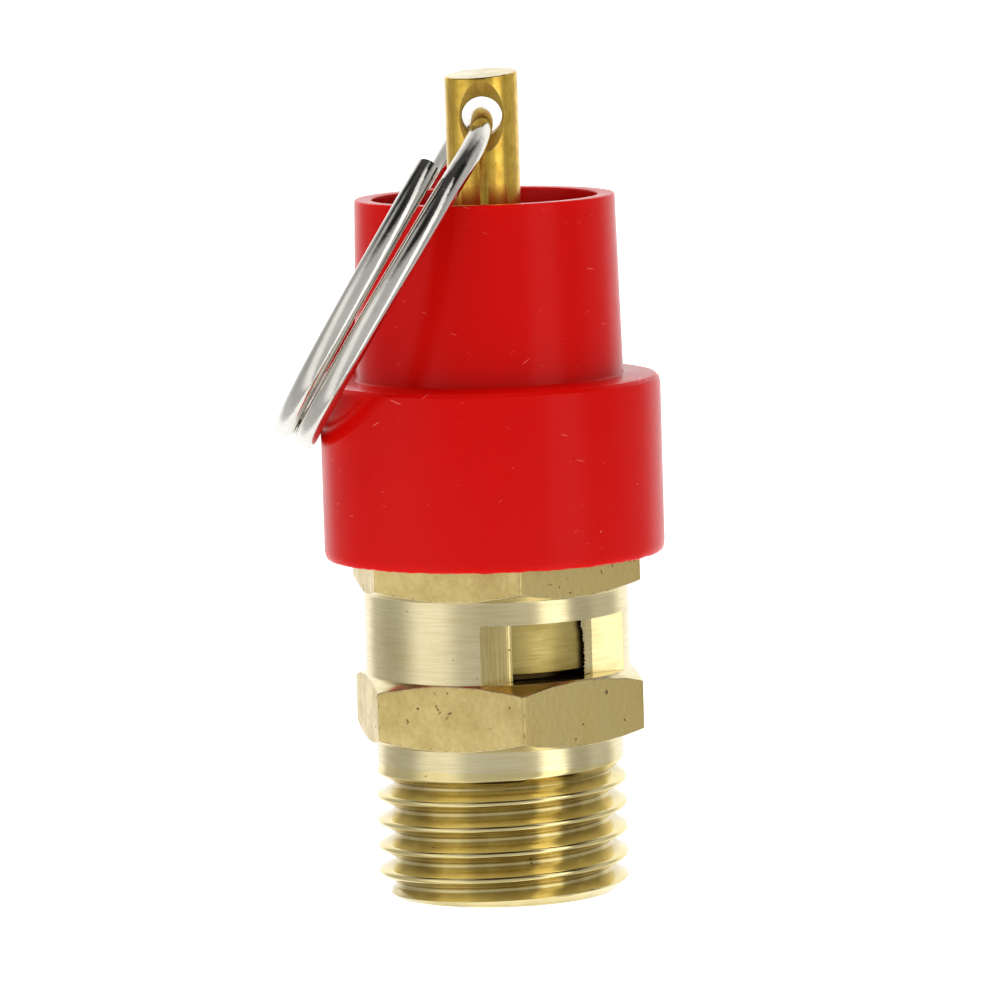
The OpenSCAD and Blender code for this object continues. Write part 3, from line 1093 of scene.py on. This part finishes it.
@dataclass
class DustCap:
    """The red moulded cap: a skirt pressed over the upper hexagon, and an open tube above it."""

    skirt_radius: float = 8.925
    grip_radius: float = 8.053
    ceiling: float = 26.3
    shoulder: float = 27.15
    tube_radius: float = 7.0
    rim_radius: float = 6.8
    wall: float = 0.9

    def build(self) -> bpy.types.Object:
        """Makes the cap.

        Returns:
            The piece, with a little flash on its lower edge.
        """
        low, high = heights_of("dust_cap")
        angles = even_angles(320)
        flash = ragged(angles, 0.035, 5, 90)
        chips = ragged(angles, 0.02, 8, 120)
        rings = [
            Ring(self.grip_radius + 0.25, low + 0.02 + flash, 0.05),
            Ring(self.skirt_radius - 0.12, low + 0.04 + flash, 0.1),
            Ring(self.skirt_radius, low + 0.35, 0.3),
            Ring(self.skirt_radius, self.shoulder, 0.55),
            Ring(self.tube_radius, self.shoulder, 0.18),
            Ring(self.rim_radius, high - chips * 0.5, 0.13),
            Ring(self.rim_radius - self.wall, high - 0.02, 0.12),
            Ring(self.tube_radius - self.wall, self.shoulder, 0.05),
            Ring(self.tube_radius - self.wall, self.ceiling, 0.1),
            Ring(self.grip_radius, self.ceiling, 0.3),
            Ring(self.grip_radius, low + 0.25, 0.05),
        ]
        return turned_piece("dust_cap_shell", rings, angles)

    def dress(self, cap: bpy.types.Object) -> None:
        """Gives the cap its plastic."""
        dress(cap, RED_PLASTIC.build())
        place(cap, "root", "red_plastic", "dust_cap")


# ---------------------------------------------------------------- stem and ring


@dataclass
class LiftStem:
    """The pull stem: a drawn rod with a sawn top and a countersunk eye for the ring."""

    radius: float = 1.9
    thread_radius: float = 1.5
    shoulder: float = 19.0
    eye_height: float = 40.8
    eye_radius: float = 1.05
    sink_radius: float = 1.86
    sink_angle: float = 59.0
    edge: float = 0.1
    top_slope_x: float = 0.055
    top_slope_y: float = 0.075

    def build(self) -> bpy.types.Object:
        """Makes the stem.

        Returns:
            The piece, with its eye cut.
        """
        low, high = heights_of("lift_stem")
        angles = even_angles(160)
        tilt = self.top_slope_x * np.cos(angles) + self.top_slope_y * np.sin(angles)
        middle = high - 0.02 - self.radius * math.hypot(self.top_slope_x, self.top_slope_y)
        burr = ragged(angles, 0.02, 21, 30)
        rings = [
            Ring(0, low),
            Ring(self.thread_radius, low, 0.15),
            Ring(self.thread_radius, self.shoulder, 0.04),
            Ring(self.radius, self.shoulder, 0.1),
            Ring(self.radius, middle + self.radius * tilt + burr, self.edge),
            Ring(self.radius * 0.8, middle + self.radius * 0.8 * tilt),
            Ring(0, middle),
        ]
        stem = turned_piece("lift_stem_rod", rings, angles, closed=False)
        return carve(stem, self._eye())

    def _eye(self) -> bpy.types.Object:
        """The drill and both countersinks, as one cutter along Y.

        Returns:
            The cutter.
        """
        slope = math.tan(math.radians(self.sink_angle))
        start = self.radius - (self.sink_radius - self.eye_radius) / slope
        wide = self.eye_radius + 1.5 * slope
        rings = [
            Ring(0, -start - 1.5),
            Ring(wide, -start - 1.5),
            Ring(self.eye_radius, -start, 0.04),
            Ring(self.eye_radius, start, 0.04),
            Ring(wide, start + 1.5),
            Ring(0, start + 1.5),
        ]
        cutter = turned_piece("cutter", rings, even_angles(96), closed=False)
        lay_down = Matrix.Rotation(math.radians(90), 4, "X")
        cutter.data.transform(Matrix.Translation((0, 0, self.eye_height * MM)) @ lay_down)
        return cutter

    def dress(self, stem: bpy.types.Object) -> None:
        """Gives the stem its bright brass, its sawn top a paler one and its eye a duller one.

        Args:
            stem: The stem.
        """
        dress(stem, STEM_BRASS.build(), TURNED_BRASS.build(), DRILLED_BRASS.build())
        centres, normals = face_layout(stem)
        sawn = (normals[:, 2] > 0.95) & (centres[:, 2] > self.eye_height + self.eye_radius + 0.2)
        near_eye = np.abs(centres[:, 2] - self.eye_height) < self.sink_radius
        bored = near_eye & (np.hypot(centres[:, 0], centres[:, 1]) < self.radius - SKIN)
        kinds = np.where(sawn, 1, np.where(bored, 2, 0)).astype(np.int32)
        stem.data.polygons.foreach_set("material_index", kinds)
        place(stem, "valve_disc", "polished_brass", "lift_stem")


@dataclass
class PullRing:
    """The split ring: a plated wire wound 1.74 times round, crossing layers inside the eye."""

    wire_radius: float = 0.6
    ring_radius: float = 9.55
    eye: tuple = (-0.06, 0.0, 40.7)
    lean: float = 32.0
    yaw: float = 3.4
    cut_angle: float = 48.0
    cross_angle: float = 38.0
    layer_gap: float = 0.62
    flare: float = 0.25
    sides: int = 28

    def build(self) -> bpy.types.Object:
        """Makes the ring.

        Returns:
            One swept wire with sheared ends.
        """
        lean = math.radians(self.lean)
        down = np.array([-math.sin(lean), 0, -math.cos(lean)])
        square = np.array([[-math.cos(lean), 0, math.sin(lean)], [0.0, -1.0, 0.0]])
        yaw = math.radians(self.yaw)
        out, toward = np.array([[math.cos(yaw), -math.sin(yaw)], [math.sin(yaw), math.cos(yaw)]]) @ square
        last = 360 - self.cut_angle
        middle = np.linspace(-last + 1.1, last - 1.1, 330)
        steps = np.concatenate([[-last, -last + 0.35], middle, [last - 0.35, last]])
        turn = np.radians(steps)[:, None]
        share = np.minimum(np.abs(steps) / self.cross_angle, 1)
        layer = -np.sign(steps) * self.layer_gap * (1.5 * share - 0.5 * share**3)
        layer += self.flare * (np.maximum(-steps - 180, 0) / (180 - self.cut_angle)) ** 2
        inward = -np.sin(turn) * toward + np.cos(turn) * down
        centres = np.array(self.eye) + self.ring_radius * (down - inward) + layer[:, None] * out
        along = np.gradient(centres, axis=0)
        along /= np.linalg.norm(along, axis=1, keepdims=True)
        side = np.cross(along, inward)
        side /= np.linalg.norm(side, axis=1, keepdims=True)
        radii = np.full(len(steps), self.wire_radius)
        radii[[0, -1]] = self.wire_radius * 0.84
        return swept_wire("pull_ring_wire", centres, np.cross(side, along), side, radii, self.sides)

    def dress(self, ring: bpy.types.Object) -> None:
        """Gives the ring its nickel."""
        dress(ring, NICKEL_WIRE.build())
        place(ring, "ring", "nickel_wire", "pull_ring")


# ---------------------------------------------------------------- inner parts


# Rounding of a pressed washer's edges, from the inner lower one round by the outside
ROLLED = (0.05, 0.14, 0.1, 0.12)


@dataclass
class ValveDisc:
    """The piston and what it carries: the seal, its washer, its screw and the stem's lock nut."""

    piston_radius: float = 5.5
    groove_depth: float = 0.2
    groove_heights: tuple = (15.6, 16.3)
    groove_width: float = 0.35
    pocket_radius: float = 4.5
    pocket_top: float = 13.3
    screw_radius: float = 1.0
    foot_radius: float = 1.52
    seal_radius: float = 4.48
    washer_radius: float = 2.45

    def build(self) -> dict[str, bpy.types.Object]:
        """Makes the disc's parts.

        Returns:
            The pieces by node name.
        """
        hole = self.screw_radius + 0.02
        return {
            "valve_piston": self._piston(),
            "seat_seal": washer("seat_seal", "seat_seal_ring", hole, self.seal_radius, (0.12,) * 4),
            "seal_washer": washer("seal_washer", "seal_washer_ring", hole, self.washer_radius, (0.06,) * 4),
            "seal_screw": self._screw(),
            "stem_lock_nut": self._lock_nut(),
        }

    def _piston(self) -> bpy.types.Object:
        """The brass piston, hollow below for the seal and grooved round its skirt.

        Returns:
            The new piece.
        """
        low, high = heights_of("valve_piston")
        rings = [
            Ring(self.pocket_radius + 0.02, low, 0.08),
            Ring(self.piston_radius, low, 0.12),
        ]
        for start in self.groove_heights:
            rings += [
                Ring(self.piston_radius, start, 0.04),
                Ring(self.piston_radius - self.groove_depth, start, 0.04),
                Ring(self.piston_radius - self.groove_depth, start + self.groove_width, 0.04),
                Ring(self.piston_radius, start + self.groove_width, 0.04),
            ]
        rings += [
            Ring(self.piston_radius, high, 0.15),
            Ring(self.foot_radius, high, 0.05),
            Ring(self.foot_radius, high - 2.4, 0.05),
            Ring(self.screw_radius + 0.02, high - 2.4, 0.02),
            Ring(self.screw_radius + 0.02, self.pocket_top, 0.02),
            Ring(self.pocket_radius + 0.02, self.pocket_top, 0.05),
        ]
        return turned_piece("piston", rings)

    def _screw(self) -> bpy.types.Object:
        """The slotted screw under the seal, with its thread.

        Returns:
            The new piece.
        """
        low, high = heights_of("seal_screw")
        head_top = low + 1.1
        pitch = 0.4
        rings = [Ring(0, low), Ring(1.65, low, 0.1), Ring(1.9, low + 0.25, 0.1), Ring(1.9, head_top, 0.08)]
        rings.append(Ring(0.99, head_top, 0.04))
        for k in range(int((high - head_top - 0.3) / pitch)):
            start = head_top + 0.15 + k * pitch
            rings += [Ring(0.99, start), Ring(0.8, start + pitch / 2, 0.04), Ring(0.99, start + 0.9 * pitch)]
        rings += [Ring(0.85, high, 0.1), Ring(0, high)]
        screw = turned_piece("seal_screw_slotted", rings, even_angles(96), closed=False)
        return carve(screw, block(6, 0.5, low - 1, low + 0.5))

    def _lock_nut(self) -> bpy.types.Object:
        """The thin nut that locks the stem into the piston.

        Returns:
            The new piece.
        """
        low, high = heights_of("stem_lock_nut")
        nut = Hexagon(5.5, 2.64, low, high, 0.0, 0.1)
        return hollow_nut("stem_nut", nut, 1.52, 0.5)

    def dress(self, parts: dict[str, bpy.types.Object]) -> None:
        """Gives each part its own finish.

        Args:
            parts: The pieces by node name.
        """
        # The piston and its screw sit in the chamber: their darker brass is painted shade
        piston_shaded_finish = SHADED_PISTON_BRASS.build()
        plated = PLATED_STEEL.build()
        finishes = {
            "valve_piston": (piston_shaded_finish, "piston_brass"),
            "seat_seal": (BLACK_RUBBER.build(), "seal_rubber"),
            "seal_washer": (plated, "plated_steel"),
            "seal_screw": (piston_shaded_finish, "piston_brass"),
            "stem_lock_nut": (plated, "plated_steel"),
        }
        for node, (finish, slot) in finishes.items():
            dress(parts[node], finish)
            place(parts[node], "valve_disc", slot, node)


def washer(node: str, name: str, inner: float, outer: float, soft: tuple) -> bpy.types.Object:
    """Makes a flat ring as tall as the node that it stands for.

    Args:
        node: The node.
        name: Name of the piece.
        inner: Radius of its hole.
        outer: Its outer radius.
        soft: Rounding of its four edges, from the inner lower one round by the outside.

    Returns:
        The new piece.
    """
    low, high = heights_of(node)
    corners = ((inner, low), (outer, low), (outer, high), (inner, high))
    return turned_piece(name, [Ring(*corner, edge) for corner, edge in zip(corners, soft)])


def hollow_nut(name: str, nut: Hexagon, bore: float, pitch: float) -> bpy.types.Object:
    """Makes a hexagonal nut with a threaded hole.

    Args:
        name: Name of the piece.
        nut: The nut's outside.
        bore: Radius at the crests of its thread.
        pitch: Distance between its crests.

    Returns:
        The new piece.
    """
    angles = nut.angles(120)
    depth = 0.5 * pitch
    rings = [Ring(bore + depth, nut.low, 0.05), *nut.rings(angles, nut.face_radius, nut.face_radius)]
    rings.append(Ring(bore + depth, nut.high, 0.05))
    crests = int((nut.high - nut.low - 0.3) / pitch)
    for k in range(crests):
        top = nut.high - depth - k * pitch
        rings += [Ring(bore, top, 0.04), Ring(bore + depth * 0.8, top - pitch / 2, 0.04)]
    return turned_piece(name, rings, angles)


@dataclass
class SpringSet:
    """The main spring between its seat and its cap, and the hollow screw that loads it."""

    wire_radius: float = 0.6
    coil_radius: float = 3.7
    turns: int = 7
    slack: float = 0.02
    adjuster_radius: float = 5.98
    adjuster_neck: float = 5.2
    adjuster_thread_top: float = 26.0
    pocket_radius: float = 4.6
    pocket_top: float = 30.1
    stem_hole: float = 1.98
    slot_width: float = 1.2
    slot_depth: float = 1.0
    thread_pitch: float = 0.75
    seat_radii: tuple = (3.4, 5.4)
    cap_radii: tuple = (2.1, 4.45)

    def build(self) -> dict[str, bpy.types.Object]:
        """Makes the spring and the parts round it.

        Returns:
            The pieces by node name.
        """
        return {
            "spring_seat": washer("spring_seat", "spring_seat_washer", *self.seat_radii, ROLLED),
            "main_spring": self._spring(),
            "spring_cap": washer("spring_cap", "spring_cap_washer", *self.cap_radii, ROLLED),
            "adjusting_screw": self._adjuster(),
            "adjuster_lock_nut": self._lock_nut(),
        }

    def _spring(self) -> bpy.types.Object:
        """A round-wire compression spring with a closed coil at each end.

        Returns:
            The new piece.
        """
        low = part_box("spring_seat")[1].z / MM + self.wire_radius + self.slack
        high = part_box("spring_cap")[0].z / MM - self.wire_radius - self.slack
        closed = 1.04 * 2 * self.wire_radius
        pitch = (high - low - 2 * closed) / (self.turns - 2)
        turn = np.linspace(0, self.turns, 48 * self.turns + 1)
        shut = np.minimum(turn, 1) + np.maximum(turn - self.turns + 1, 0)
        around = 2 * math.pi * turn
        outward = np.stack([np.cos(around), np.sin(around), 0 * turn], axis=-1)
        centres = self.coil_radius * outward + np.outer(low + shut * closed + (turn - shut) * pitch, UP)
        upward = np.tile(np.array(UP), (len(turn), 1))
        radii = np.full(len(turn), self.wire_radius)
        return swept_wire("coil_spring", centres, outward, upward, radii, 20)

    def _adjuster(self) -> bpy.types.Object:
        """The hollow adjusting screw, threaded below and slotted across its top.

        Returns:
            The new piece.
        """
        low, high = heights_of("adjusting_screw")
        rings = [
            Ring(self.stem_hole, self.pocket_top, 0.1),
            Ring(self.pocket_radius, self.pocket_top, 0.2),
            Ring(self.pocket_radius, low, 0.15),
        ]
        crests = int((self.adjuster_thread_top - low) / self.thread_pitch)
        for k in range(crests):
            start = low + 0.05 + k * self.thread_pitch
            rings += [
                Ring(self.adjuster_radius - 0.42, start, 0.05),
                Ring(self.adjuster_radius, start + 0.45 * self.thread_pitch, 0.06),
                Ring(self.adjuster_radius, start + 0.6 * self.thread_pitch, 0.06),
            ]
        rings += [
            Ring(self.adjuster_neck, self.adjuster_thread_top, 0.1),
            Ring(self.adjuster_neck, high, 0.3),
            Ring(self.stem_hole, high, 0.15),
        ]
        screw = turned_piece("adjuster_screw", rings)
        return carve(screw, block(14, self.slot_width, high - self.slot_depth, high + 1))

    def _lock_nut(self) -> bpy.types.Object:
        """The large thin nut that locks the adjusting screw.

        Returns:
            The new piece.
        """
        low, high = heights_of("adjuster_lock_nut")
        nut = Hexagon(13, 6.2, low, high, 0.0, 0.12)
        return hollow_nut("adjuster_nut", nut, 6.0, self.thread_pitch)

    def dress(self, parts: dict[str, bpy.types.Object]) -> None:
        """Gives each part its finish, and gives the spring a mesh of its own.

        Args:
            parts: The pieces by node name.
        """
        plated = PLATED_STEEL.build()
        finishes = {
            "spring_seat": (plated, "plated_steel", "spring_carrier"),
            "main_spring": (SPRING_STEEL.build(), "spring_steel", "root"),
            "spring_cap": (plated, "plated_steel", "root"),
            "adjusting_screw": (TURNED_BRASS.build(), "turned_brass", "root"),
            "adjuster_lock_nut": (DRAWN_BRASS.build(), "turned_brass", "root"),
        }
        for node, (finish, slot, body) in finishes.items():
            dress(parts[node], finish)
            place(parts[node], body, slot, node)
        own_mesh(parts["main_spring"])


# ---------------------------------------------------------------- studio


@dataclass(frozen=True)
class Softbox:
    """A bright or dark panel of the light tent that stands upright round the valve."""

    azimuth: float
    width: float
    edge: float
    strength: float
    top: float = 0.95


@dataclass
class Studio:
    """A white light tent with brighter and darker upright panels, a pale table and the camera."""

    base: float = 0.58
    ceiling: float = 0.06
    floor_glow: float = 0.06
    roof_behind: float = 0.80
    roof_ahead: float = 0.56
    darkest: float = 0.02
    panels: tuple = (
        Softbox(-61, 40, 24, 0.44),
        Softbox(51, 26, 7, 1.00),
        Softbox(-2, 36, 24, -0.05),
        Softbox(80, 24, 8, -0.14),
        Softbox(-106, 30, 20, -0.12),
        Softbox(153, 46, 20, 0.60),
        Softbox(-162, 40, 20, 0.60),
    )
    table_glow: float = 0.85
    lamp_size: float = 350.0
    lamp_watts: float = 1.7
    lamp_at: tuple = (-50.0, -80.0, 450.0)
    lamp_aim: tuple = (0.0, 0.0, 20.0)
    camera_at: tuple = (0.35, -385.0, 65.4)
    look_at: tuple = (0.35, 0.0, 20.6)
    roll: float = 1.7
    field: float = 52.4
    sensor: float = 36.0

    def build(self) -> None:
        """Makes the world, the table, the lights and the camera."""
        self._world()
        self._table()
        self._lights()
        self._camera()
        scene = bpy.context.scene
        scene.view_settings.view_transform = "Standard"
        scene.view_settings.look = "None"

    def _world(self) -> None:
        """The light tent: what the metal mirrors. The camera itself sees plain white."""
        world = bpy.data.worlds.new("light_tent")
        bpy.context.scene.world = world
        node = start_nodes(world)
        parts = node("SeparateXYZ", {0: node("TexCoord", out="Generated")}).node.outputs
        ahead = node("Math", {0: parts[1], 1: -1.0}, operation="MULTIPLY")
        turn = node("Math", {0: parts[0], 1: ahead}, operation="ARCTAN2")
        total = 0.0
        for panel in self.panels:
            off = node("Math", {0: turn, 1: math.radians(panel.azimuth)}, operation="SUBTRACT")
            off = node("Math", {0: off, 1: math.pi, 2: -math.pi}, operation="WRAP")
            off = node("Math", {0: off}, operation="ABSOLUTE")
            half = math.radians(panel.width / 2)
            soft = math.radians(panel.edge / 2)
            fade = {0: off, 1: half - soft, 2: half + soft, 3: panel.strength, 4: 0.0}
            glow = node("MapRange", fade, interpolation_type="SMOOTHSTEP")
            reach = node("MapRange", {0: parts[2], 1: panel.top - 0.15, 2: panel.top, 3: 1.0, 4: 0.0})
            total = node("Math", {0: glow, 1: reach, 2: total}, operation="MULTIPLY_ADD")
        # The tent's wall darkens towards its open top, and the table glows from below
        roof = node("MapRange", {0: ahead, 1: -0.2, 2: 0.4, 3: self.roof_behind, 4: self.roof_ahead})
        below = node("Math", {0: roof, 1: parts[2]}, operation="SUBTRACT")
        wall = node("MapRange", {0: below, 1: 0.0, 2: 0.33, 3: self.ceiling, 4: self.base})
        floor = node("MapRange", {0: parts[2], 1: -0.2, 2: -0.5, 3: 0.0, 4: self.floor_glow})
        wall = node("Math", {0: wall, 1: floor}, operation="ADD")
        total = node("Math", {0: total, 1: wall}, operation="ADD")
        total = node("Math", {0: total, 1: self.darkest}, operation="MAXIMUM")
        tent = node("Background", {"Color": linear("#FFFFFF"), "Strength": total})
        white = node("Background", {"Color": linear("#FFFFFF"), "Strength": 1.0})
        seen = node("LightPath", out="Is Camera Ray")
        node("OutputWorld", {"Surface": node("MixShader", {0: seen, 1: tent, 2: white})})

    def _table(self) -> None:
        """A round white acrylic light table under the valve."""
        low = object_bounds()[0].z / MM
        rings = [
            Ring(0, low - 6),
            Ring(900, low - 6),
            Ring(903, low - 3, 2),
            Ring(900, low - 0.01, 2),
            Ring(0, low - 0.01),
        ]
        table = turned_piece("light_table", rings, even_angles(128), closed=False)
        material = bpy.data.materials.new("white_acrylic_light_table")
        node = start_nodes(material)
        inputs = {
            "Base Color": linear("#F4F4F2"),
            "Roughness": 0.6,
            "Emission Color": linear("#FFFFFF"),
            "Emission Strength": self.table_glow,
        }
        node("OutputMaterial", {"Surface": node("BsdfPrincipled", inputs)})
        dress(table, material)
        table.visible_glossy = False
        table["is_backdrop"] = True

    def _lights(self) -> None:
        """One large overhead softbox that lights the tops."""
        light = bpy.data.lights.new("overhead_softbox", "AREA")
        light.shape = "SQUARE"
        light.size = self.lamp_size * MM
        light.energy = self.lamp_watts
        lamp = bpy.data.objects.new("overhead_softbox", light)
        start = Vector(self.lamp_at) * MM
        lamp.location = start
        lamp.rotation_mode = "QUATERNION"
        lamp.rotation_quaternion = (Vector(self.lamp_aim) * MM - start).to_track_quat("-Z", "Y")
        lamp.visible_glossy = False
        bpy.context.scene.collection.objects.link(lamp)

    def _camera(self) -> None:
        """A long lens a little above the valve, rolled slightly."""
        data = bpy.data.cameras.new("camera")
        camera = bpy.data.objects.new("camera", data)
        bpy.context.scene.collection.objects.link(camera)
        bpy.context.scene.camera = camera
        start = Vector(self.camera_at) * MM
        view = Vector(self.look_at) * MM - start
        data.sensor_width = self.sensor
        data.lens = self.sensor * view.length / (self.field * MM)
        data.clip_start = 0.01
        camera.location = start
        camera.rotation_mode = "QUATERNION"
        roll = Matrix.Rotation(-math.radians(self.roll), 3, "Z").to_quaternion()
        camera.rotation_quaternion = view.to_track_quat("-Z", "Y") @ roll


def write_size() -> None:
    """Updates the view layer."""
    bpy.context.view_layer.update()


def main() -> None:
    """Builds the valve part by part, then the studio round it."""
    logging.basicConfig(level=logging.INFO, format="%(message)s")
    for assembly in (ValveBody(), ValveDisc(), SpringSet(), DustCap(), LiftStem(), PullRing()):
        assembly.dress(assembly.build())
    Studio().build()
    write_size()


if __name__ == "__main__":
    main()
